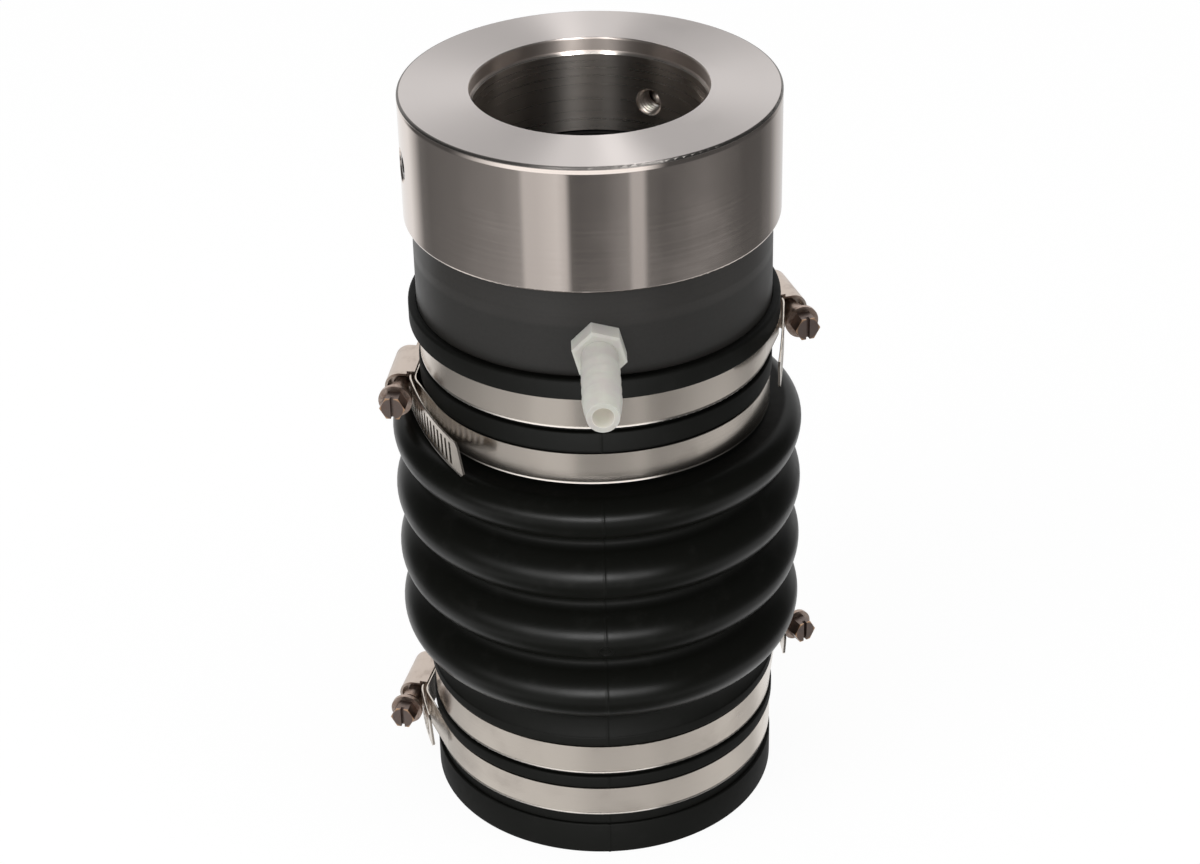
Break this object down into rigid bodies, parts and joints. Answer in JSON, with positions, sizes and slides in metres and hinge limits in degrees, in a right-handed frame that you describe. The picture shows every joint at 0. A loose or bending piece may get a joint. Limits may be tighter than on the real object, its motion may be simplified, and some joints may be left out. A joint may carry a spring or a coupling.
{
  "type": "shaft seal",
  "caption": "Dripless propeller shaft seal: ribbed rubber bellows with clamped cuffs, a carbon stator ring with a hose barb, and a turning steel rotor ring bored for the shaft.",
  "frame": {"origin": "on the seal's axis, in the plane of the lower cuff's open end", "axes": "+Z along the axis towards the rotor, -Y towards the water fitting, +X to the right seen from the fitting"},
  "size_m": [0.1633, 0.1818, 0.2784],
  "materials": {
    "rotor_steel": "fine turned",
    "oring_rubber": "matte",
    "set_screw_steel": "plain",
    "stator_carbon": "lapped carbon, satin",
    "barb_plastic": "moulded, slightly translucent",
    "bellows_rubber": "moulded, satin",
    "band_steel": "rolled, bright",
    "housing_steel": "pressed, bright",
    "screw_steel": "tarnished brown"
  },
  "bodies": {
    "tube_end": {"bellows": "bellows_rubber", "clamp_3_band": "band_steel", "clamp_3_housing": "housing_steel", "clamp_4_band": "band_steel", "clamp_4_housing": "housing_steel"},
    "carrier": {"stator": "stator_carbon", "hose_barb": "barb_plastic", "clamp_1_band": "band_steel", "clamp_1_housing": "housing_steel", "clamp_2_band": "band_steel", "clamp_2_housing": "housing_steel"},
    "turning_ring": {"rotor": "rotor_steel", "rotor_oring_lower": "oring_rubber", "rotor_oring_upper": "oring_rubber", "set_screw_rear_drive": "set_screw_steel", "set_screw_rear_lock": "set_screw_steel", "set_screw_left_drive": "set_screw_steel", "set_screw_left_lock": "set_screw_steel"},
    "worm_1": {"clamp_1_screw": "screw_steel"},
    "worm_2": {"clamp_2_screw": "screw_steel"},
    "worm_3": {"clamp_3_screw": "screw_steel"},
    "worm_4": {"clamp_4_screw": "screw_steel"}
  },
  "joints": [
    {"name": "bellows_compress", "type": "slide", "parent": "tube_end", "child": "carrier", "axis": [0, 0, -1], "range_m": [0, 0.025], "stiffness_N_per_m": 8000, "springref_m": -0.0052, "deforming": ["bellows"]},
    {"name": "rotor_spin", "type": "hinge", "parent": "carrier", "child": "turning_ring", "pos_m": [0, 0, 0.2559], "axis": [0, 0, 1], "continuous": true},
    {"name": "clamp_1_screw_turn", "type": "hinge", "parent": "carrier", "child": "worm_1", "pos_m": [0.06632, 0.02028, 0.18655], "axis": [0.2924, -0.9563, 0], "continuous": true},
    {"name": "clamp_2_screw_turn", "type": "hinge", "parent": "carrier", "child": "worm_2", "pos_m": [-0.06798, 0.00955, 0.16475], "axis": [-0.1392, -0.9903, 0], "continuous": true},
    {"name": "clamp_3_screw_turn", "type": "hinge", "parent": "tube_end", "child": "worm_3", "pos_m": [0.06347, 0.03814, 0.04225], "axis": [0.515, -0.8572, 0], "continuous": true},
    {"name": "clamp_4_screw_turn", "type": "hinge", "parent": "tube_end", "child": "worm_4", "pos_m": [-0.06981, 0.01741, 0.02335], "axis": [-0.2419, -0.9703, 0], "continuous": true}
  ]
}
